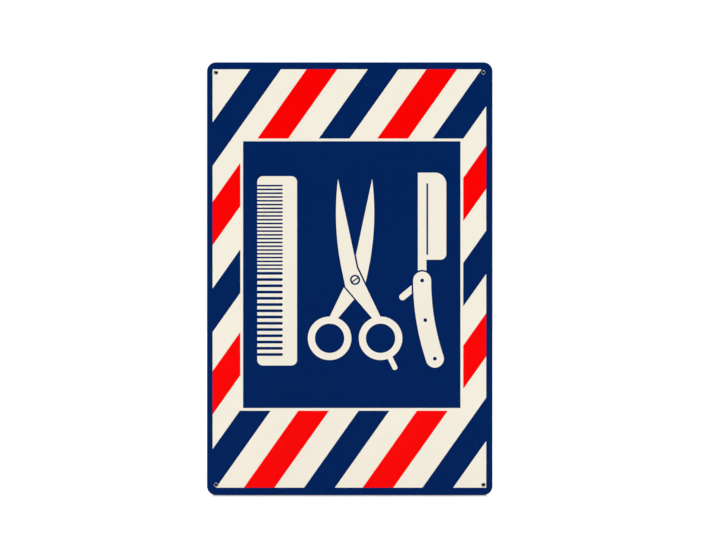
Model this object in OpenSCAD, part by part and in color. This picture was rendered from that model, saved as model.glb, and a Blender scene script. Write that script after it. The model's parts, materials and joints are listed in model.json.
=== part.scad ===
// Flat steel wall sign with barber stripes round a panel, hung by four eyelets.
// X runs across the sign, Z up it, and the front faces -Y. The origin is the
// centre of the four eyelets, on the plane of the wall that they rest against.

/* [Blank] */
// Width of the blank
sign_w = 301.6; // [275:0.1:360]
// Height of the blank
sign_h = 457.2; // [420:0.1:540]
// Radius of the blank's corners
corner_r = 9.5; // [5:0.5:12]
// Thickness of the steel
sheet_t = 0.7; // [0.4:0.05:1.6]

/* [Coats] */
// Thickness of the coat on the back
back_t = 0.1; // [0.05:0.01:0.3]
// Thickness of the cream coat on the front
cream_t = 0.2; // [0.1:0.01:0.4]
// Thickness of the blue and red inks
ink_t = 0.12; // [0.06:0.01:0.3]
// Thickness of the emblem, which is printed over the panel
emblem_t = 0.1; // [0.06:0.01:0.3]

/* [Border] */
// Width of the blue border on the left
border_left = 5.9; // [4:0.1:8]
// Width of the blue border on the right
border_right = 6.6; // [4:0.1:8]
// Width of the blue border along the top
border_top = 7.3; // [5:0.1:9]
// Width of the blue border along the bottom
border_bottom = 7.8; // [5:0.1:9]

/* [Panel] */
// Striped band to the left of the panel
band_left = 29.3; // [20:0.1:36]
// Striped band to the right of the panel
band_right = 24.3; // [18:0.1:34]
// Striped band above the panel
band_top = 73.2; // [50:0.1:90]
// Striped band below the panel
band_bottom = 81.3; // [50:0.1:95]
// Cream line that is left bare around the panel
keyline_w = 2.9; // [1:0.1:5]

/* [Stripes] */
// Width of a stripe, measured across the sign
stripe_w = 32.5; // [24:0.5:40]
// Mean distance between stripes, measured across the sign
stripe_pitch = 61.9; // [56:0.1:70]
// Distance that the middle stripe, on its way from corner to corner, overshoots each
stripe_over = 12; // [8:0.1:16]
// Distance of the whole row of stripes to the right of the field's middle
stripe_shift = 2.4; // [-6:0.1:6]

/* [Eyelets] */
// Distance from the blank's side to an eyelet's centre
inset_x = 9.5; // [8.5:0.1:14]
// Distance from the blank's top or bottom to an eyelet's centre
inset_z = 10.8; // [8.5:0.1:14]
// Bore of an eyelet
eyelet_bore = 3.2; // [2.4:0.1:4]
// Wall of an eyelet's barrel
eyelet_wall = 0.3; // [0.2:0.05:0.5]
// Width of the flange around the bore
flange_w = 0.7; // [0.6:0.05:1.4]
// Thickness of the flange
flange_t = 0.4; // [0.2:0.05:0.6]
// Width of the rolled end around the bore
roll_w = 0.8; // [0.7:0.05:1.3]
// Thickness of the rolled end, which holds the back off the wall
roll_t = 0.5; // [0.3:0.05:0.9]
// Play between a barrel and its punched hole
punch_play = 0.05; // [0.02:0.01:0.15]
// Ring without ink around a flange
ink_play = 0.05; // [0.02:0.01:0.5]

/* [Emblem] */
// Distance from the panel's side to the comb and to the razor
emblem_margin = 15; // [10:0.5:20]
// Height of the emblem's centre above the panel's centre
emblem_rise = 4; // [-10:0.5:10]
// Bare line where one tool passes behind another
gap_w = 1.8; // [1:0.1:2.5]

/* [Comb] */
// Length of the comb
comb_l = 200; // [180:1:215]
// Width of the comb
comb_w = 42; // [34:0.5:46]
// Width of the comb's back
spine_w = 15; // [10:0.5:18]
// Solid length at each end of the comb
guard_l = 9; // [6:0.5:14]
// Radius of the comb's corners
comb_r = 6; // [2:0.5:8]
// Gap between coarse teeth
coarse_gap = 3; // [2:0.1:4]
// Pitch of the coarse teeth
coarse_pitch = 6.6; // [6:0.1:8]
// Gap between fine teeth
fine_gap = 1.8; // [1.4:0.1:2.2]
// Pitch of the fine teeth
fine_pitch = 4; // [3.6:0.1:5]

/* [Scissors] */
// Angle between the two blades, in degrees
open_angle = 24; // [18:0.5:28]
// Length of a blade from the screw to the tip
blade_l = 108; // [90:1:115]
// Greatest width of a blade
blade_w = 16; // [12:0.5:18]
// Length of a blade behind the screw, as if its bow ran on to a point
blade_tail = 84; // [60:1:100]
// Distance that a cutting edge runs past the screw
edge_over = 4.5; // [3:0.1:6]
// Distance from the screw to the middle of a finger ring
shank_l = 66; // [60:1:76]
// Sideways distance from the screw to a ring's middle, with the blades shut
ring_off = 13.5; // [12:0.5:18]
// Width of a shank where it meets its ring
shank_w = 9; // [6:0.5:11]
// Outer radius of a finger ring
ring_r = 23; // [19:0.5:24]
// Stock of a finger ring
ring_w = 7.5; // [5:0.5:9]
// Length of the finger rest
rest_l = 15; // [8:0.5:18]
// Width of the finger rest
rest_w = 5.5; // [3:0.5:6]
// Radius of the screw's head
screw_r = 3.6; // [3:0.1:4.5]
// Width of the slot in the screw's head
screw_slot = 1.4; // [0.8:0.1:2]

/* [Razor] */
// Length of the razor's blade
razor_l = 92; // [80:1:100]
// Width of the razor's blade
razor_w = 30; // [24:0.5:34]
// Radius of the blade's point
point_r = 12; // [5:0.5:14]
// Radius of the blade's heel
heel_r = 6; // [3:0.5:8]
// Distance from the back of the blade to the line along it
fuller_in = 9; // [6:0.5:11]
// Width of the line along the blade
fuller_w = 1.8; // [0.8:0.1:2.4]
// Length of the tang between the blade and the pin
tang_l = 22; // [18:1:28]
// Width of the tang
tang_w = 9; // [6:0.5:11]
// Length of the tail past the pin
tail_l = 27; // [20:1:30]
// Width of the tail
tail_w = 7; // [4:0.5:8]
// Angle from the tail to straight down, in degrees
tail_angle = 50; // [40:1:60]
// Length of the handle between its end pins
handle_l = 84; // [70:1:95]
// Width of the handle
handle_w = 19; // [14:0.5:21]
// Radius that the handle is bowed to
handle_bow = 260; // [200:5:400]
// Radius of the pins in the handle
pin_r = 2; // [1.2:0.1:2.6]

/* [Hidden] */
$fn = 96;

// Segments of the long bows
bow_fn = 720;

// Colours of the finished surfaces
cream = [0.953, 0.929, 0.867];
blue = [0.008, 0.145, 0.357];
red = [0.996, 0, 0];
bare_steel = [0.62, 0.63, 0.64];
grey_coat = [0.82, 0.81, 0.78];
nickel = [0.75, 0.75, 0.76];

// Distance of each layer's back from the wall
back_at = roll_t;
steel_at = back_at + back_t;
cream_at = steel_at + sheet_t;
ink_at = cream_at + cream_t;
emblem_at = ink_at + ink_t;

// The eyelets, and the holes that clear them
bore_r = eyelet_bore / 2;
flange_r = bore_r + flange_w;
roll_r = bore_r + roll_w;
punch_r = bore_r + eyelet_wall + punch_play;
ink_hole_r = flange_r + ink_play;
eyelet_x = sign_w / 2 - inset_x;
eyelet_z = sign_h / 2 - inset_z;
CORNERS = [
    ["eyelet_top_left", -1, 1],
    ["eyelet_top_right", 1, 1],
    ["eyelet_bottom_left", -1, -1],
    ["eyelet_bottom_right", 1, -1],
];

// The striped field, the keyline's outer edge and the panel, each by its lower
// left corner and its upper right one
field_lo = [border_left - sign_w / 2, border_bottom - sign_h / 2];
field_hi = [sign_w / 2 - border_right, sign_h / 2 - border_top];
key_lo = field_lo + [band_left, band_bottom];
key_hi = field_hi - [band_right, band_top];
panel_lo = key_lo + [keyline_w, keyline_w];
panel_hi = key_hi - [keyline_w, keyline_w];

// How far each stripe lies from its place in an even row, left to right
stripe_drift = [0.1, -2.3, 0.6, 0.5, -3, -3.1, -1.3, -1.4, -0.1];
stripe_n = len(stripe_drift);
row_x = (field_lo.x + field_hi.x) / 2 + stripe_shift;
function stripe_x(i) = row_x + (i - (stripe_n - 1) / 2) * stripe_pitch + stripe_drift[i];
function stripe_is_blue(i) = i % 2 == 0;
function stripe_name(i) = str(stripe_is_blue(i) ? "blue" : "red", "_stripe_", floor(i / 2) + 1);

// Places of the emblem's tools: the comb's middle, the razor's pin and the scissors'
// screw, each set so that its tool reaches about as far up as down
emblem_z = (panel_lo.y + panel_hi.y) / 2 + emblem_rise;
comb_x = panel_lo.x + emblem_margin + comb_w / 2;
pin_x = panel_hi.x - emblem_margin - razor_w + tang_w / 2;
pin_z = emblem_z - (razor_l + tang_l - handle_l - handle_w / 2) / 2;
screw_x = (comb_x + comb_w / 2 + pin_x - handle_w / 2) / 2;
screw_z = emblem_z - (blade_l - shank_l - ring_r) / 2;

// A flat layer of the given thickness, with its back this far from the wall.
module layer(at, thickness) {
    translate([0, -at, 0]) rotate([90, 0, 0]) linear_extrude(thickness) children();
}

// A rectangle from its lower left corner to its upper right one.
module span(lo, hi) {
    translate(lo) square(hi - lo);
}

// The same with round corners.
module round_span(lo, hi, r) {
    span(lo + [r, 0], hi - [r, 0]);
    span(lo + [0, r], hi - [0, r]);
    for (x = [lo.x + r, hi.x - r], z = [lo.y + r, hi.y - r]) translate([x, z]) circle(r);
}

module blank_outline() {
    half = [sign_w, sign_h] / 2;
    round_span(-half, half, corner_r);
}

// Round holes at the four eyelets.
module corner_holes(r) {
    for (c = CORNERS) translate([c[1] * eyelet_x, c[2] * eyelet_z]) circle(r);
}

// The blank, punched for the eyelets.
module punched_blank() {
    difference() {
        blank_outline();
        corner_holes(punch_r);
    }
}

module steel_sheet() {
    color(bare_steel) layer(steel_at, sheet_t) punched_blank();
}

module back_coat() {
    color(grey_coat) layer(back_at, back_t) punched_blank();
}

module cream_coat() {
    color(cream) layer(cream_at, cream_t) punched_blank();
}

module blue_border() {
    color(blue) layer(ink_at, ink_t) difference() {
        blank_outline();
        span(field_lo, field_hi);
        corner_holes(ink_hole_r);
    }
}

module blue_panel() {
    color(blue) layer(ink_at, ink_t) span(panel_lo, panel_hi);
}

// A leaning band as high as the field, centred on this x at mid height.
module leaning_band(x) {
    half = stripe_w / 2;
    low = x - stripe_over + (field_lo.x - field_hi.x) / 2;
    high = x + stripe_over + (field_hi.x - field_lo.x) / 2;
    polygon([
        [low - half, field_lo.y],
        [low + half, field_lo.y],
        [high + half, field_hi.y],
        [high - half, field_hi.y],
    ]);
}

// One stripe: a leaning band, cut off at the border and interrupted by the keyline.
module stripe(i) {
    color(stripe_is_blue(i) ? blue : red) layer(ink_at, ink_t) difference() {
        intersection() {
            span(field_lo, field_hi);
            leaning_band(stripe_x(i));
        }
        span(key_lo, key_hi);
        corner_holes(ink_hole_r);
    }
}

// Section of a ring around the bore, as wide as given, with round lips.
module lipped_section(width, thickness) {
    lip = thickness / 2;
    translate([bore_r + lip, 0]) square([width - thickness, thickness]);
    for (r = [bore_r + lip, bore_r + width - lip]) translate([r, lip]) circle(lip);
}

// An eyelet with its axis upright: the rolled end on the wall, the barrel and the flange.
module upright_eyelet() {
    rotate_extrude() {
        lipped_section(roll_w, roll_t);
        translate([0, ink_at]) lipped_section(flange_w, flange_t);
        span([bore_r, roll_t / 2], [bore_r + eyelet_wall, ink_at + flange_t / 2]);
    }
}

module eyelet(corner) {
    color(nickel)
        translate([corner[1] * eyelet_x, 0, corner[2] * eyelet_z])
            rotate([90, 0, 0]) upright_eyelet();
}

// A printed shape of the emblem, placed on the panel.
module emblem_print(x, z) {
    color(cream) layer(emblem_at, emblem_t) translate([x, z]) children();
}

// Slots for teeth on the comb's left side: as many as fit from near to far,
// above the middle where dir is 1 and below it where dir is -1.
module comb_slots(dir, near, far, pitch, gap) {
    depth = comb_w - spine_w - gap / 2;
    for (z = [near + gap / 2:pitch:far - gap / 2]) translate([-comb_w / 2, dir * z]) {
        span([-gap, -gap / 2], [depth, gap / 2]);
        translate([depth, 0]) circle(gap / 2);
    }
}

// A barber's comb, upright: fine teeth above the middle and coarse ones below.
module emblem_comb() {
    half = [comb_w, comb_l] / 2;
    near = (fine_pitch - fine_gap) / 2;
    far = comb_l / 2 - guard_l;
    emblem_print(comb_x, emblem_z) difference() {
        round_span(-half, half, comb_r);
        comb_slots(1, near, far, fine_pitch, fine_gap);
        comb_slots(-1, near, far, coarse_pitch, coarse_gap);
    }
}

// Half of the scissors, its blade up and leaning left, drawn wider all round by grow.
module scissors_half(grow) {
    chord = blade_l + blade_tail;
    bow_r = chord * chord / (8 * blade_w) + blade_w / 2;
    bow_z = (blade_l - blade_tail) / 2;
    back = blade_w - edge_over;
    heel = blade_w / 3;
    rotate(open_angle / 2) difference() {
        union() {
            // Blade: a straight cutting edge on the right and a long bow on the left
            intersection() {
                translate([bow_r - back, bow_z]) circle(bow_r + grow, $fn = bow_fn);
                span([-blade_w - grow, -heel], [edge_over + grow, blade_l + grow]);
            }
            // Shank, from where the blade is widest into the ring
            polygon([
                [edge_over + grow, bow_z],
                [-back - grow, bow_z],
                [-back - grow, -heel],
                [ring_off - shank_w / 2 - grow, ring_r - shank_l],
                [ring_off, -shank_l],
                [ring_off + shank_w / 2 + grow, ring_r - shank_l],
            ]);
            translate([ring_off, -shank_l]) circle(ring_r + grow);
        }
        translate([ring_off, -shank_l]) circle(ring_r - ring_w);
    }
}

// Finger rest below the front half's ring, with a round end.
module finger_rest() {
    reach = ring_r - ring_w / 2 + rest_l;
    rest_turn = 14;
    rotate(open_angle / 2) translate([ring_off, -shank_l]) rotate(rest_turn) {
        span([-rest_w / 2, -reach], [rest_w / 2, rest_l - reach]);
        translate([0, -reach]) circle(rest_w / 2);
    }
}

module emblem_scissors_front() {
    emblem_print(screw_x, screw_z) difference() {
        union() {
            scissors_half(0);
            finger_rest();
        }
        circle(screw_r + gap_w);
    }
}

module emblem_scissors_rear() {
    emblem_print(screw_x, screw_z) difference() {
        mirror([1, 0]) scissors_half(0);
        scissors_half(gap_w);
        circle(screw_r + gap_w);
    }
}

module emblem_scissors_screw() {
    slot_turn = 35;
    emblem_print(screw_x, screw_z) difference() {
        circle(screw_r);
        rotate(slot_turn) square([3 * screw_r, screw_slot], center = true);
    }
}

// The razor's blade and tang above the pin, its edge to the right, and its tail below.
module emblem_razor_blade() {
    back = -tang_w / 2;
    edge = back + razor_w;
    top = tang_l + razor_l;
    line_x = back + fuller_in;
    line_z = [tang_l + heel_r, top - point_r];
    emblem_print(pin_x, pin_z) difference() {
        union() {
            span([back, tang_l], [edge - point_r, top]);
            round_span([back, tang_l], [edge, top - heel_r], heel_r);
            translate([edge - point_r, top - point_r]) circle(point_r);
            span([back, 0], [-back, tang_l + heel_r]);
            rotate(-tail_angle) {
                span([-tail_w / 2, -tail_l], [tail_w / 2, 0]);
                translate([0, -tail_l]) circle(tail_w / 2);
            }
        }
        // Line along the hollow of the blade, with round ends
        span([line_x, line_z[0]], [line_x + fuller_w, line_z[1]]);
        for (z = line_z) translate([line_x + fuller_w / 2, z]) circle(fuller_w / 2);
        razor_handle_outline(gap_w);
    }
}

// Places the children on the handle's bowed middle line, this part of the way down it.
module on_handle(part) {
    turn = part * handle_l / handle_bow * 180 / PI;
    translate([handle_bow, 0]) rotate(turn) translate([-handle_bow, 0]) children();
}

// The handle's outline below the pin, drawn wider all round by grow.
module razor_handle_outline(grow) {
    sweep = handle_l / handle_bow * 180 / PI;
    far = 2 * handle_bow;
    translate([handle_bow, 0]) intersection() {
        difference() {
            circle(handle_bow + handle_w / 2 + grow, $fn = bow_fn);
            circle(handle_bow - handle_w / 2 - grow, $fn = bow_fn);
        }
        polygon([[0, 0], [-far, 0], [-far * cos(sweep), -far * sin(sweep)]]);
    }
    for (end = [0, 1]) on_handle(end) circle(handle_w / 2 + grow);
}

module emblem_razor_handle() {
    emblem_print(pin_x, pin_z) difference() {
        razor_handle_outline(0);
        for (part = [0, 0.5, 1]) on_handle(part) circle(pin_r);
    }
}

steel_sheet();
back_coat();
cream_coat();
blue_border();
blue_panel();
for (i = [0:stripe_n - 1]) stripe(i);
for (c = CORNERS) eyelet(c);
emblem_comb();
emblem_scissors_front();
emblem_scissors_rear();
emblem_scissors_screw();
emblem_razor_blade();
emblem_razor_handle();
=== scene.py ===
# Barber's wall sign: a printed steel sheet, hung by an eyelet in each corner.
import json
import math

import bmesh
import bpy
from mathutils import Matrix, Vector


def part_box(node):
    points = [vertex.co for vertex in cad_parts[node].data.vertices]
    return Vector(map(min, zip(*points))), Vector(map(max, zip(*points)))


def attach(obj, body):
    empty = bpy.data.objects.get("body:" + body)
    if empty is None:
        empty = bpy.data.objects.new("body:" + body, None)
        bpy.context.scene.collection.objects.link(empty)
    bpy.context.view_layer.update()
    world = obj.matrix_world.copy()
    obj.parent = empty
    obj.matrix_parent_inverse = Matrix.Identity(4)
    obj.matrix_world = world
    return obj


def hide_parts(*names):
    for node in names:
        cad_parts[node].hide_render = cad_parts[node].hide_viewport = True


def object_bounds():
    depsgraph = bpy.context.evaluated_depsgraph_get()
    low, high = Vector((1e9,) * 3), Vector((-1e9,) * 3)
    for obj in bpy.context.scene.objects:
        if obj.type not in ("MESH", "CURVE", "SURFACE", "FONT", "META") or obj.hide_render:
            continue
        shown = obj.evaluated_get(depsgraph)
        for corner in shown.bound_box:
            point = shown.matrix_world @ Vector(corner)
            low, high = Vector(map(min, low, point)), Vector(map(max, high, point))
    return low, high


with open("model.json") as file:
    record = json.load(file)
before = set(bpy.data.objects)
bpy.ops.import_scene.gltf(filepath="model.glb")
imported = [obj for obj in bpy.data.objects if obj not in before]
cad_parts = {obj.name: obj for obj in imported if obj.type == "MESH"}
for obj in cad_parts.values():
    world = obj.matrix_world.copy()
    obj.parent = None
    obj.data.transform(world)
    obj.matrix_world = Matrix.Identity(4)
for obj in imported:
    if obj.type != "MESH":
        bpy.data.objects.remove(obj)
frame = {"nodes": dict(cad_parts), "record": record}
cad_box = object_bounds()


# Steel blank
# Cold-rolled sheet, sheared to an upright rectangle, its four corners rounded off and
# punched. Both faces are painted, so only its cut edge shows.
mm = 0.001
steel_bright = (0.38, 0.38, 0.39, 1.0)
steel_dull = (0.17, 0.165, 0.16, 1.0)
steel_roughness = (0.3, 0.6)
burnished_share = 0.35
tears_per_metre = 900.0
tear_depth = 0.16 * mm
shear_line_pitch = 0.09 * mm
shear_line_length = 10 / 3 * mm
shear_line_depth = 0.008 * mm
# Levels, here and below, are the values of a noise between which its mark fades in
shear_line_levels = (0.35, 0.65)
faintest_shear_line = 0.3


def place(tree, kind, sockets=None, **settings):
    """Adds a node. A socket is given a number, a colour or another node's output."""
    made = tree.nodes.new(kind)
    for key, value in settings.items():
        setattr(made, key, value)
    for key, value in (sockets or {}).items():
        if isinstance(value, bpy.types.NodeSocket):
            tree.links.new(value, made.inputs[key])
        else:
            made.inputs[key].default_value = value
    return made


def calculate(tree, operation, *values):
    """The result of a Math node."""
    made = place(tree, "ShaderNodeMath", dict(enumerate(values)), operation=operation)
    return made.outputs[0]


def calculate_vector(tree, operation, *values):
    """The result of a Vector Math node: a number for a length, and a vector otherwise."""
    made = place(tree, "ShaderNodeVectorMath", dict(enumerate(values)), operation=operation)
    return made.outputs["Value" if operation == "LENGTH" else "Vector"]


def xyz(tree, vector):
    """The outputs X, Y and Z of a vector."""
    return place(tree, "ShaderNodeSeparateXYZ", {0: vector}).outputs


def fade(tree, value, low, high, to_low=0.0, to_high=1.0):
    """The value carried smoothly from one range to another, and held at its ends."""
    made = place(
        tree,
        "ShaderNodeMapRange",
        {"Value": value, "From Min": low, "From Max": high, "To Min": to_low, "To Max": to_high},
        interpolation_type="SMOOTHSTEP",
    )
    return made.outputs["Result"]


def noise(tree, where, scale, detail=2.0):
    """A noise value around 0.5."""
    made = place(
        tree, "ShaderNodeTexNoise", {"Vector": where, "Scale": scale, "Detail": detail}
    )
    return made.outputs[0]


def blended(tree, share, first, second):
    """The first colour turning into the second as the share goes from 0 to 1."""
    # Of the node's inputs for each kind of data, 6 and 7 are the two for colours
    made = place(
        tree, "ShaderNodeMix", {0: share, 6: first, 7: second}, data_type="RGBA"
    )
    return made.outputs[2]


def new_material(name):
    """An empty material: itself, its node tree and its object coordinates."""
    material = bpy.data.materials.new(name)
    material.use_nodes = True
    material.node_tree.nodes.clear()
    where = material.node_tree.nodes.new("ShaderNodeTexCoord").outputs["Object"]
    return material, material.node_tree, where


def surface(tree, sockets, height):
    """Ends a material: a shader whose relief is the height, in metres."""
    bump = place(tree, "ShaderNodeBump", {"Height": height, "Distance": 1.0})
    shader = place(
        tree, "ShaderNodeBsdfPrincipled", {**sockets, "Normal": bump.outputs["Normal"]}
    )
    place(tree, "ShaderNodeOutputMaterial", {"Surface": shader.outputs[0]})


def dress(piece, material):
    """Gives a piece this one material."""
    piece.data.materials.clear()
    piece.data.materials.append(material)


def cut_steel():
    """Bare sheared steel: burnished at the front, torn at the back, lined across."""
    material, tree, where = new_material("cut_steel")
    low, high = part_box("steel_sheet")
    torn_from = low.y + (high.y - low.y) * burnished_share
    ragged = calculate(tree, "MULTIPLY", noise(tree, where, tears_per_metre), tear_depth)
    depth = calculate(tree, "ADD", xyz(tree, where)["Y"], ragged)
    torn = fade(tree, depth, torn_from, torn_from + tear_depth)
    pitch = 1 / shear_line_pitch
    lined = calculate_vector(tree, "MULTIPLY", where, (pitch, 1 / shear_line_length, pitch))
    lines = noise(tree, lined, 1.0)
    dull = fade(tree, lines, *shear_line_levels, faintest_shear_line)
    dull = calculate(tree, "MULTIPLY", dull, torn)
    relief = calculate(tree, "ADD", lines, torn)
    surface(
        tree,
        {
            "Base Color": blended(tree, dull, steel_bright, steel_dull),
            "Metallic": 1.0,
            "Roughness": fade(tree, dull, 0.0, 1.0, *steel_roughness),
        },
        calculate(tree, "MULTIPLY", relief, shear_line_depth),
    )
    return material


dress(frame["nodes"]["steel_sheet"], cut_steel())


# Back paint
# Pale grey baked paint over the whole back. Stacking and unpacking have rubbed it and
# chipped its edge, and the rolled ends of the eyelets have pressed and soiled it.
black = (0.0, 0.0, 0.0, 1.0)
back_grey = (0.62, 0.61, 0.58, 1.0)
back_rubbed = (0.78, 0.77, 0.75, 1.0)
back_grime = (0.36, 0.35, 0.33, 1.0)
back_specular = 0.4
back_skin = {
    "Peel Size": 1.8 * mm,
    "Peel Depth": 0.014 * mm,
    "Cloud": 0.03,
    "Roughness": 0.5,
}
back_press = {"Rim": 2.4 * mm, "Reach": 1.6 * mm}
back_chips = {"Reach": 0.8 * mm, "Hold": 1.05}
back_edge_radius = 0.05 * mm
dent_depth = 0.05 * mm
chip_depth = 0.04 * mm
grime_per_metre = 900.0
grime_levels = (0.35, 0.65)
grime_shares = (0.15, 0.6)


def effect(name, inputs, outputs):
    """A new node group: itself, its inputs, its outputs and its object coordinates."""
    group = bpy.data.node_groups.new(name, "ShaderNodeTree")
    for way, labels in (("INPUT", inputs), ("OUTPUT", outputs)):
        for label in labels:
            group.interface.new_socket(label, in_out=way, socket_type="NodeSocketFloat")
    given = group.nodes.new("NodeGroupInput").outputs
    result = group.nodes.new("NodeGroupOutput").inputs
    where = group.nodes.new("ShaderNodeTexCoord").outputs["Object"]
    return group, given, result, where


def applied(tree, group, values):
    """The outputs of a node group that is placed with these values for its inputs."""
    return place(tree, "ShaderNodeGroup", values, node_tree=group).outputs


def dots(tree, where, per_metre, rim, core, share):
    """Dots across the sign, the same right through it, in this share of a pattern of random
    cells. Each fades in from its rim to its core, two radii in widths of a cell."""
    face = xyz(tree, where)
    face = place(tree, "ShaderNodeCombineXYZ", {"X": face["X"], "Y": face["Z"]}).outputs[0]
    cells = place(
        tree,
        "ShaderNodeTexVoronoi",
        {"Vector": face, "Scale": per_metre},
        voronoi_dimensions="2D",
    ).outputs
    dot = fade(tree, cells["Distance"], rim, core)
    pick = place(tree, "ShaderNodeSeparateColor", {0: cells["Color"]}).outputs[0]
    return calculate(tree, "MULTIPLY", dot, calculate(tree, "GREATER_THAN", pick, 1 - share))


# Heights in the skin are shares of its Peel Depth
grain_per_peel = 5.0
grain_height = 0.15
specks_per_metre = 45.0
speck_rim, speck_core = 0.016, 0.004
speck_share = 0.14
speck_height = 1.8
clouds_per_metre = 11.0
cloud_levels = (0.36, 0.64)
patches_per_metre = 60.0
patch_levels = (0.3, 0.7)
patch_roughness = (0.92, 1.1)


def paint_skin():
    """Baked paint: orange peel, a few dust specks under it, and slightly uneven tone."""
    group, given, result, where = effect(
        "paint_skin",
        ["Peel Size", "Peel Depth", "Cloud", "Roughness"],
        ["Tone", "Roughness", "Height"],
    )
    peels_per_metre = calculate(group, "DIVIDE", 1.0, given["Peel Size"])
    peel = noise(group, where, peels_per_metre, detail=1.0)
    grains_per_metre = calculate(group, "MULTIPLY", peels_per_metre, grain_per_peel)
    grain = noise(group, where, grains_per_metre, detail=0.0)
    speck = dots(group, where, specks_per_metre, speck_rim, speck_core, speck_share)
    relief = calculate(group, "MULTIPLY_ADD", grain, grain_height, peel)
    relief = calculate(group, "MULTIPLY_ADD", speck, speck_height, relief)
    height = calculate(group, "MULTIPLY", relief, given["Peel Depth"])
    group.links.new(height, result["Height"])
    cloud = fade(group, noise(group, where, clouds_per_metre, detail=3.0), *cloud_levels)
    cloud = calculate(group, "MULTIPLY", cloud, given["Cloud"])
    tone = calculate(group, "SUBTRACT", 1.0, cloud)
    group.links.new(tone, result["Tone"])
    patch = noise(group, where, patches_per_metre, detail=3.0)
    patch = fade(group, patch, *patch_levels, *patch_roughness)
    rough = calculate(group, "MULTIPLY", patch, given["Roughness"])
    group.links.new(rough, result["Roughness"])
    return group


# Takes the depth out of a vector, and leaves it in the plane of the sign
in_plane = (1, 0, 1)


def eyelet_press():
    """The paint near an eyelet: 1 at the metal's rim, and 0 from Reach away from it."""
    group, given, result, where = effect("eyelet_press", ["Rim", "Reach"], ["Near"])
    low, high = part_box("eyelet_top_right")
    middle = (low + high) / 2
    offset = calculate_vector(group, "ABSOLUTE", where)
    offset = calculate_vector(group, "SUBTRACT", offset, middle)
    offset = calculate_vector(group, "MULTIPLY", offset, in_plane)
    distance = calculate_vector(group, "LENGTH", offset)
    far = calculate(group, "ADD", given["Rim"], given["Reach"])
    near = fade(group, distance, far, given["Rim"])
    group.links.new(near, result["Near"])
    return group


blank_corner_radius = 9.5 * mm
chips_per_metre = 2200.0
edge_weakness = 0.5
chip_softness = 0.06


def edge_chips():
    """Paint lost along the blank's cut edge, in chips no wider than Reach. Hold is how well
    it sticks: from 1, well worn, to 1.2, whole."""
    group, given, result, where = effect("edge_chips", ["Reach", "Hold"], ["Gone"])
    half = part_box("steel_sheet")[1]
    straight = (half.x - blank_corner_radius, 0, half.z - blank_corner_radius)
    offset = calculate_vector(group, "ABSOLUTE", where)
    offset = calculate_vector(group, "SUBTRACT", offset, straight)
    offset = calculate_vector(group, "MAXIMUM", offset, (0, 0, 0))
    offset = calculate_vector(group, "MULTIPLY", offset, in_plane)
    distance = calculate_vector(group, "LENGTH", offset)
    inside = calculate(group, "SUBTRACT", blank_corner_radius, distance)
    near = fade(group, inside, given["Reach"], 0.0)
    chips = noise(group, where, chips_per_metre, detail=3.0)
    chips = calculate(group, "MULTIPLY_ADD", near, edge_weakness, chips)
    all_gone = calculate(group, "ADD", given["Hold"], chip_softness)
    gone = fade(group, chips, given["Hold"], all_gone)
    group.links.new(gone, result["Gone"])
    return group


skin_effect = paint_skin()
press_effect = eyelet_press()
chips_effect = edge_chips()

# Each lean of the scratches, in degrees, and how many patches of them there are to a metre
scratch_leans = {4: 13.0, 86: 17.0, -31: 23.0}
scratch_patch_levels = (0.52, 0.62)
# How fine the noise is across, through and along a scratch
scratches_per_metre = (1300, 1, 9)
scratch_levels = (0.64, 0.72)
scratch_depth = 0.006 * mm
scratch_shine = 0.15
scratch_colour_share = 0.55


def scratches(tree, where, lean):
    """Fine straight scratches, all leaning by this many degrees."""
    turned = place(
        tree,
        "ShaderNodeVectorRotate",
        {"Vector": where, "Angle": math.radians(lean)},
        rotation_type="Y_AXIS",
    ).outputs[0]
    lined = calculate_vector(tree, "MULTIPLY", turned, scratches_per_metre)
    return fade(tree, noise(tree, lined, 1.0, detail=1.0), *scratch_levels)


def back_paint():
    """Satin grey: finely scratched in patches, chipped along its edge down to the steel, and
    dented and soiled at each eyelet."""
    material, tree, where = new_material("back_paint")
    skin = applied(tree, skin_effect, back_skin)
    press = applied(tree, press_effect, back_press)["Near"]
    chips = applied(tree, chips_effect, back_chips)["Gone"]
    marks = 0.0
    for lean, patches in scratch_leans.items():
        patch = fade(tree, noise(tree, where, patches), *scratch_patch_levels)
        here = calculate(tree, "MULTIPLY", scratches(tree, where, lean), patch)
        marks = calculate(tree, "MAXIMUM", here, marks)
    rubbed = calculate(tree, "MULTIPLY", marks, scratch_colour_share)
    grime = noise(tree, where, grime_per_metre, detail=4.0)
    grime = fade(tree, grime, *grime_levels, *grime_shares)
    soiled = calculate(tree, "MULTIPLY", grime, press)
    colour = blended(tree, skin["Tone"], black, back_grey)
    colour = blended(tree, rubbed, colour, back_rubbed)
    colour = blended(tree, soiled, colour, back_grime)
    colour = blended(tree, chips, colour, steel_bright)
    height = skin["Height"]
    for mark, depth in ((press, dent_depth), (marks, scratch_depth), (chips, chip_depth)):
        height = calculate(tree, "MULTIPLY_ADD", mark, -depth, height)
    rough = calculate(tree, "MULTIPLY_ADD", marks, -scratch_shine, skin["Roughness"])
    surface(
        tree,
        {"Base Color": colour, "Roughness": rough, "Specular IOR Level": back_specular},
        height,
    )
    return material


weld_distance = 0.001 * mm
flat_angle = math.radians(0.02)
sharp_angle = math.radians(30)
rounding_segments = 3


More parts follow.
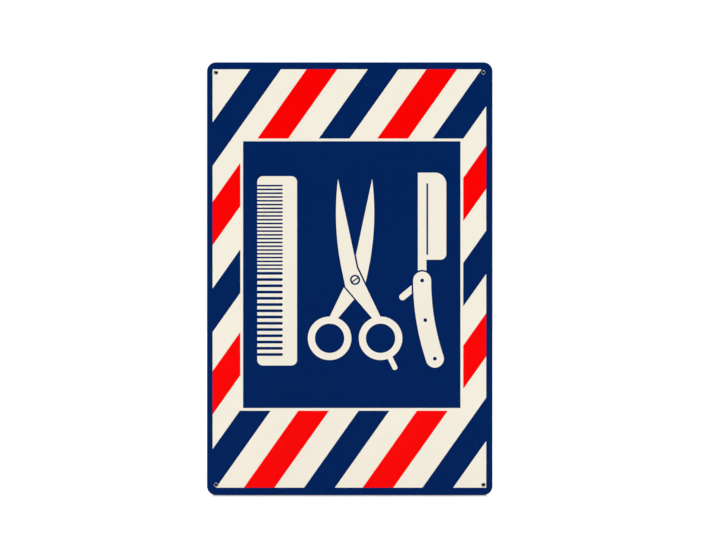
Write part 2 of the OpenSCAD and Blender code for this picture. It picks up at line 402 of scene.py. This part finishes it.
def rounded_solid(node, name, radius, front):
    """A copy of a flat solid with the edges of its front, or of its back, rounded."""
    mesh = frame["nodes"][node].data.copy()
    mesh.name = name
    body = bmesh.new()
    body.from_mesh(mesh)
    bmesh.ops.remove_doubles(body, verts=body.verts, dist=weld_distance)
    bmesh.ops.dissolve_limit(
        body, angle_limit=flat_angle, verts=body.verts, edges=body.edges
    )
    rounded = body.edges.layers.float.new("bevel_weight_edge")
    low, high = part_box(node)
    face = low.y if front else high.y
    for edge in body.edges:
        on_face = all(abs(corner.co.y - face) < weld_distance for corner in edge.verts)
        if on_face and edge.calc_face_angle(0.0) > sharp_angle:
            edge[rounded] = 1.0
    body.to_mesh(mesh)
    body.free()
    mesh.shade_smooth()
    mesh.set_sharp_from_angle(angle=sharp_angle)
    piece = bpy.data.objects.new(name, mesh)
    bpy.context.scene.collection.objects.link(piece)
    rounding = piece.modifiers.new("rounded_edge", "BEVEL")
    rounding.limit_method = "WEIGHT"
    rounding.width = radius
    rounding.segments = rounding_segments
    rounding.harden_normals = True
    return piece


def fit(piece, node):
    """Puts a piece in a node's place on the sign."""
    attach(piece, "root")
    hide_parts(node)


def coat(node, name, radius, material, front=True):
    """Lays a coat or a printed field, with its outer edges rounded, in a node's place."""
    piece = rounded_solid(node, name, radius, front)
    dress(piece, material)
    fit(piece, node)


coat("back_coat", "back_paint", back_edge_radius, back_paint(), front=False)


# Cream paint
# Baked semi-gloss paint over the whole front. It shows between the stripes and in the
# line round the panel, and everything else on the front is printed over it.
cream = (0.896, 0.847, 0.723, 1.0)
cream_peel_depth = 0.01 * mm
cream_cloud = 0.012
front_specular = 0.15
front_roughness = 0.2
front_peel_size = 1.4 * mm
front_press = {"Rim": 2.3 * mm, "Reach": 1.2 * mm}
# Painted shade: the front is darkened by this share right round each eyelet's flange
press_painted_shade = 0.12
press_depth = 0.04 * mm


def front_skin(tree, peel_depth, cloud):
    """What the front's paint and inks share: tone, painted shade round the eyelets, roughness,
    height.
    """
    skin = applied(
        tree,
        skin_effect,
        {
            "Peel Size": front_peel_size,
            "Peel Depth": peel_depth,
            "Cloud": cloud,
            "Roughness": front_roughness,
        },
    )
    press = applied(tree, press_effect, front_press)["Near"]
    # Painted shade round the eyelet's flange, darkest at its rim
    rim_painted_shade = calculate(tree, "MULTIPLY_ADD", press, -press_painted_shade, 1.0)
    tone = calculate(tree, "MULTIPLY", skin["Tone"], rim_painted_shade)
    height = calculate(tree, "MULTIPLY_ADD", press, -press_depth, skin["Height"])
    return tone, skin["Roughness"], height


def cream_paint():
    """Cream, with nothing but the skin of baked paint and the painted shade round the eyelets.
    """
    material, tree, _ = new_material("cream_paint")
    tone, rough, height = front_skin(tree, cream_peel_depth, cream_cloud)
    surface(
        tree,
        {
            "Base Color": blended(tree, tone, black, cream),
            "Roughness": rough,
            "Specular IOR Level": front_specular,
        },
        height,
    )
    return material


dress(frame["nodes"]["cream_coat"], cream_paint())


# Blue ink
# Navy ink, screen-printed over the cream: the border, the panel and every second stripe.
# It stands a little proud of the paint, with soft edges.
navy = (0.0002, 0.0184, 0.115, 1.0)
ink_edge_radius = 0.05 * mm
ink_peel_depth = 0.008 * mm
ink_chips = {"Reach": 0.5 * mm, "Hold": 1.1}
ink_marks = {
    "Stipple Size": 0.35 * mm,
    "Pinhole Spacing": 9 * mm,
    "Pinhole Radius": 0.06 * mm,
}
stipple_levels = (0.3, 0.7)
stipple_height = 0.003 * mm
pinhole_core = 0.6
pinhole_share = 0.4
flaw_depth = 0.03 * mm
# How fine the noise is across, through and along a streak of the squeegee
streaks_per_metre = (420, 1, 5)
streak_levels = (0.4, 0.7)


def print_marks():
    """Screen-printed ink: the stipple of the screen's mesh, and a few fine pinholes."""
    group, given, result, where = effect(
        "print_marks",
        ["Stipple Size", "Pinhole Spacing", "Pinhole Radius"],
        ["Stipple", "Pinholes"],
    )
    per_metre = calculate(group, "DIVIDE", 1.0, given["Stipple Size"])
    stipple = fade(group, noise(group, where, per_metre, detail=1.0), *stipple_levels)
    group.links.new(stipple, result["Stipple"])
    per_metre = calculate(group, "DIVIDE", 1.0, given["Pinhole Spacing"])
    rim = calculate(group, "MULTIPLY", given["Pinhole Radius"], per_metre)
    core = calculate(group, "MULTIPLY", rim, pinhole_core)
    pinholes = dots(group, where, per_metre, rim, core, pinhole_share)
    group.links.new(pinholes, result["Pinholes"])
    return group


marks_effect = print_marks()


def ink(name, colour, under, cloud, streak, stipple):
    """A printed ink: squeegee streaks, mesh stipple, and what lies under it at its flaws."""
    material, tree, where = new_material(name)
    tone, rough, height = front_skin(tree, ink_peel_depth, cloud)
    marks = applied(tree, marks_effect, ink_marks)
    chips = applied(tree, chips_effect, ink_chips)["Gone"]
    flaws = calculate(tree, "MAXIMUM", chips, marks["Pinholes"])
    drawn = calculate_vector(tree, "MULTIPLY", where, streaks_per_metre)
    streaks = fade(tree, noise(tree, drawn, 1.0), *streak_levels)
    tone = calculate(tree, "MULTIPLY_ADD", streaks, -streak, tone)
    tone = calculate(tree, "MULTIPLY_ADD", marks["Stipple"], -stipple, tone)
    height = calculate(tree, "MULTIPLY_ADD", marks["Stipple"], stipple_height, height)
    height = calculate(tree, "MULTIPLY_ADD", flaws, -flaw_depth, height)
    printed = blended(tree, tone, black, colour)
    surface(
        tree,
        {
            "Base Color": blended(tree, flaws, printed, under),
            "Roughness": rough,
            "Specular IOR Level": front_specular,
        },
        height,
    )
    return material


def nodes(start):
    """The CAD nodes whose names start in this way."""
    return sorted(name for name in frame["nodes"] if name.startswith(start))


blue_ink = ink("blue_ink", navy, cream, cloud=0.03, streak=0.03, stipple=0.12)
coat("blue_border", "border_ink", ink_edge_radius, blue_ink)
coat("blue_panel", "panel_ink", ink_edge_radius, blue_ink)
for node in nodes("blue_stripe"):
    coat(node, node + "_ink", ink_edge_radius, blue_ink)


# Red ink
# Bright red ink, screen-printed over the cream in a pass of its own: one stripe between
# each two of the blue ones.
bright_red = (0.991, 0.0, 0.0, 1.0)
red_ink = ink("red_ink", bright_red, cream, cloud=0.02, streak=0.02, stipple=0.06)
for node in nodes("red_stripe"):
    coat(node, node + "_ink", ink_edge_radius, red_ink)


# Emblem
# A comb, a pair of scissors and an open razor, the tools of the trade. They are printed
# last, in cream ink over the panel.
emblem_edge_radius = 0.04 * mm
emblem_ink = ink("emblem_ink", cream, navy, cloud=0.015, streak=0.012, stipple=0.02)
for node in nodes("emblem"):
    name = node.replace("emblem", "printed")
    coat(node, name, emblem_edge_radius, emblem_ink)


# Eyelets
# Drawn from thin bright metal, pushed through from the front and set against the back:
# a domed flange in front, a plain barrel, and an end that splits as it rolls over.
eyelet_bright = (0.53, 0.53, 0.54, 1.0)
eyelet_dull = (0.43, 0.43, 0.43, 1.0)
eyelet_roughness = (0.26, 0.4)
dull_patches_per_metre = 700.0
dull_patch_levels = (0.4, 0.7)
draw_rings_per_metre = 16000.0
draw_ring_depth = 0.004 * mm
eyelet_wall = 0.3 * mm
flange_width = 0.7 * mm
dome_fullness = 2.6
flange_points = 14
roll_points = 12
eyelet_steps = 120
splits = 6
split_depth = 0.3 * mm
split_half_steps = 2
eyelet_sharp_angle = math.radians(50)
turn_between_eyelets = math.radians(37)


def dome(inner, outer, base, rise, count):
    """Points of a flattened half ellipse from its outer foot to its inner one."""
    middle, reach = (inner + outer) / 2, (outer - inner) / 2
    points = []
    for step in range(count + 1):
        turn = math.pi * step / count
        flat = abs(math.cos(turn)) ** (2 / dome_fullness)
        full = math.sin(turn) ** (2 / dome_fullness)
        points.append((middle + math.copysign(reach * flat, math.cos(turn)), base + rise * full))
    return points


def eyelet_mesh():
    """The eyelet as a ring round the Y axis, its front towards -Y and its back at 0."""
    low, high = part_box("eyelet_top_left")
    bore = frame["record"]["mounts"][0]["dims"]["hole_r_mm"] * mm
    wall = bore + eyelet_wall
    flange = bore + flange_width
    rolled = (high.x - low.x) / 2
    # Depths are counted from the wall towards the front
    front = high.y - low.y
    seat = high.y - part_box("cream_coat")[0].y
    back = high.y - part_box("back_coat")[1].y
    outline = dome(bore, flange, seat, front - seat, flange_points)
    outline += dome(bore, rolled, back, -back, roll_points)[::-1]
    outline += [(wall, back), (wall, seat)]
    count = len(outline)
    split_steps = eyelet_steps // splits
    points, faces = [], []
    for step in range(eyelet_steps):
        turn = 2 * math.pi * step / eyelet_steps
        past = step % split_steps
        split = max(0.0, 1 - min(past, split_steps - past) / split_half_steps)
        for radius, depth in outline:
            # Only the rolled end is split, and only outside the barrel
            if depth <= back and radius > wall:
                radius -= split * split_depth * (radius - wall) / (rolled - wall)
            points.append((radius * math.cos(turn), -depth, radius * math.sin(turn)))
        here, there = step * count, (step + 1) % eyelet_steps * count
        for i in range(count):
            j = (i + 1) % count
            faces.append((here + i, here + j, there + j, there + i))
    mesh = bpy.data.meshes.new("eyelet")
    mesh.from_pydata(points, [], faces)
    body = bmesh.new()
    body.from_mesh(mesh)
    bmesh.ops.recalc_face_normals(body, faces=body.faces)
    body.to_mesh(mesh)
    body.free()
    mesh.shade_smooth()
    mesh.set_sharp_from_angle(angle=eyelet_sharp_angle)
    return mesh


def eyelet_metal():
    """Satin drawn metal with fine rings round the axis and a few dull patches."""
    material, tree, where = new_material("eyelet_metal")
    radius = calculate_vector(tree, "MULTIPLY", where, in_plane)
    radius = calculate_vector(tree, "LENGTH", radius)
    rings = place(tree, "ShaderNodeCombineXYZ", {"X": radius}).outputs[0]
    rings = noise(tree, rings, draw_rings_per_metre)
    dull = fade(tree, noise(tree, where, dull_patches_per_metre), *dull_patch_levels)
    surface(
        tree,
        {
            "Base Color": blended(tree, dull, eyelet_bright, eyelet_dull),
            "Metallic": 1.0,
            "Roughness": fade(tree, dull, 0.0, 1.0, *eyelet_roughness),
        },
        calculate(tree, "MULTIPLY", rings, draw_ring_depth),
    )
    return material


shared_eyelet = eyelet_mesh()
shared_eyelet.materials.append(eyelet_metal())
for number, node in enumerate(nodes("eyelet")):
    low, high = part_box(node)
    piece = bpy.data.objects.new(node.replace("eyelet", "set_eyelet"), shared_eyelet)
    bpy.context.scene.collection.objects.link(piece)
    piece.location = ((low.x + high.x) / 2, high.y, (low.z + high.z) / 2)
    piece.rotation_euler.y = turn_between_eyelets * number
    fit(piece, node)


# Floor
# The sign stands upright on a pale floor that runs on into the white of the room. It
# shows the sign's soft shadows, and a painted contact shadow, a short dark line where the two
# touch.
floor_half = 8.0
floor_bounce = (0.66, 0.66, 0.66, 1.0)
# To the camera it is part lit and part glowing, and white where no shadow falls
floor_seen = (0.45, 0.45, 0.45, 1.0)
floor_glow = 0.6
contact_shadow_reach = 30 * mm
contact_shadow_power = 2.0
contact_shadow_samples = 16


def plane(name, half):
    """A flat level square of the stage around its own middle."""
    mesh = bpy.data.meshes.new(name)
    corners = [(-half, -half, 0), (half, -half, 0), (half, half, 0), (-half, half, 0)]
    mesh.from_pydata(corners, [], [(0, 1, 2, 3)])
    made = bpy.data.objects.new(name, mesh)
    bpy.context.scene.collection.objects.link(made)
    return made


def mixed_shader(tree, share, first, second):
    """The first shader turning into the second as the share goes from 0 to 1."""
    return place(
        tree,
        "ShaderNodeMixShader",
        {0: share, 1: first.outputs[0], 2: second.outputs[0]},
    )


def floor_material():
    """White to the camera, but for the sign's shadow and a painted contact shadow; pale to all
    other light.
    """
    material, tree, where = new_material("pale_floor")
    # Painted contact shadow: the floor is darker the less of the room it sees close by
    outside_contact_shadow = place(
        tree,
        "ShaderNodeAmbientOcclusion",
        {"Distance": contact_shadow_reach},
        samples=contact_shadow_samples,
    ).outputs["AO"]
    outside_contact_shadow = calculate(tree, "POWER", outside_contact_shadow, contact_shadow_power)
    # The round corners lift off the floor, so the painted contact shadow ends where they begin
    across = calculate(tree, "ABSOLUTE", xyz(tree, where)["X"])
    corner = cad_box[1][0] - blank_corner_radius
    lifted = fade(tree, across, corner, corner + blank_corner_radius / 2)
    outside_contact_shadow = calculate(tree, "MAXIMUM", outside_contact_shadow, lifted)
    lit = place(tree, "ShaderNodeBsdfDiffuse", {"Color": floor_seen})
    glow = place(tree, "ShaderNodeEmission", {"Strength": floor_glow})
    white = place(tree, "ShaderNodeAddShader", {0: lit.outputs[0], 1: glow.outputs[0]})
    painted_shade = place(tree, "ShaderNodeEmission", {"Strength": 0.0})
    shaded = mixed_shader(tree, outside_contact_shadow, painted_shade, white)
    pale = place(tree, "ShaderNodeBsdfDiffuse", {"Color": floor_bounce})
    to_camera = tree.nodes.new("ShaderNodeLightPath").outputs["Is Camera Ray"]
    mixed = mixed_shader(tree, to_camera, pale, shaded)
    place(tree, "ShaderNodeOutputMaterial", {"Surface": mixed.outputs[0]})
    return material


floor = plane("floor", floor_half)
floor.location.z = cad_box[0][2]
floor.visible_glossy = False
dress(floor, floor_material())


# Dark spots: painted shade inside the eyelets' bores
# One stands upright behind each eyelet, so that its bore is dark from the front, as in
# the photograph. It belongs to the stage, and is clear from behind.
spot_half = 3.5 * mm
spot_gap = 0.3 * mm


def painted_shade_material():
    """Black from the front, as painted shade in an eyelet's bore, and clear from behind."""
    material, tree, _ = new_material("eyelet_shade")
    material.use_backface_culling = True
    behind = tree.nodes.new("ShaderNodeNewGeometry").outputs["Backfacing"]
    painted_shade = place(tree, "ShaderNodeBsdfDiffuse", {"Color": black})
    clear = tree.nodes.new("ShaderNodeBsdfTransparent")
    mixed = mixed_shader(tree, behind, painted_shade, clear)
    place(tree, "ShaderNodeOutputMaterial", {"Surface": mixed.outputs[0]})
    return material


painted_shade_spot = painted_shade_material()
for node in nodes("eyelet"):
    low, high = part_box(node)
    shade_card = plane(node + "_shade", spot_half)
    shade_card.location = ((low.x + high.x) / 2, high.y + spot_gap, (low.z + high.z) / 2)
    shade_card.rotation_euler.x = math.pi / 2
    # The card is painted shade: only the camera sees it, and only from the front
    shade_card.visible_shadow = shade_card.visible_diffuse = shade_card.visible_glossy = False
    dress(shade_card, painted_shade_spot)


# Room and lamps
# A white room. The side that the sign faces is dark except to the camera, so that the
# colours keep their depth. A soft lamp lights the front from above, a weak one the back.
room_white = (1.0, 1.0, 1.0, 1.0)
room_light = 0.7
dark_side = math.cos(math.radians(40))
dark_side_end = math.cos(math.radians(60))
front_strength = 2.36
front_height = math.radians(48)
back_strength = 0.55
back_height = math.radians(25)
lamp_spread = math.radians(30)

world = bpy.data.worlds.new("white_room")
bpy.context.scene.world = world
world.use_nodes = True
room = world.node_tree
room.nodes.clear()
rays = room.nodes.new("ShaderNodeLightPath").outputs
seen = calculate(room, "ADD", rays["Is Camera Ray"], rays["Is Glossy Ray"])
seen = calculate(room, "ADD", seen, rays["Is Transmission Ray"])
strength = fade(room, seen, 0.0, 1.0, room_light, 1.0)
direction = room.nodes.new("ShaderNodeTexCoord").outputs["Generated"]
lit = fade(room, xyz(room, direction)["Y"], -dark_side, -dark_side_end)
lit = calculate(room, "MAXIMUM", lit, rays["Is Camera Ray"])
strength = calculate(room, "MULTIPLY", strength, lit)
backdrop = place(room, "ShaderNodeBackground", {"Color": room_white, "Strength": strength})
place(room, "ShaderNodeOutputWorld", {"Surface": backdrop.outputs[0]})


def soft_lamp(name, strength, height, turn):
    """A broad lamp, this far above the floor and turned this far from the front, as angles."""
    lamp = bpy.data.lights.new(name, "SUN")
    lamp.energy = strength
    lamp.angle = lamp_spread
    made = bpy.data.objects.new(name, lamp)
    bpy.context.scene.collection.objects.link(made)
    made.rotation_euler = (math.pi / 2 - height, 0, turn)


soft_lamp("front_lamp", front_strength, front_height, 0)
soft_lamp("back_lamp", back_strength, back_height, math.pi)


# Camera
# It looks straight at the printed front through a long lens, as in the photograph. The
# width that it takes in, and the point it looks at, are fitted to the photograph.
view_distance = 3.0
view_width = 756.45 * mm
aim_x, aim_z = 8.73 * mm, 9.19 * mm
sensor_width = 36.0

camera_data = bpy.data.cameras.new("camera")
camera_data.sensor_width = sensor_width
camera_data.lens = sensor_width * view_distance / view_width
camera = bpy.data.objects.new("camera", camera_data)
camera.location = (aim_x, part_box("blue_border")[0].y - view_distance, aim_z)
camera.rotation_euler = (math.pi / 2, 0, 0)
bpy.context.scene.collection.objects.link(camera)
bpy.context.scene.camera = camera
bpy.context.scene.view_settings.view_transform = "Standard"
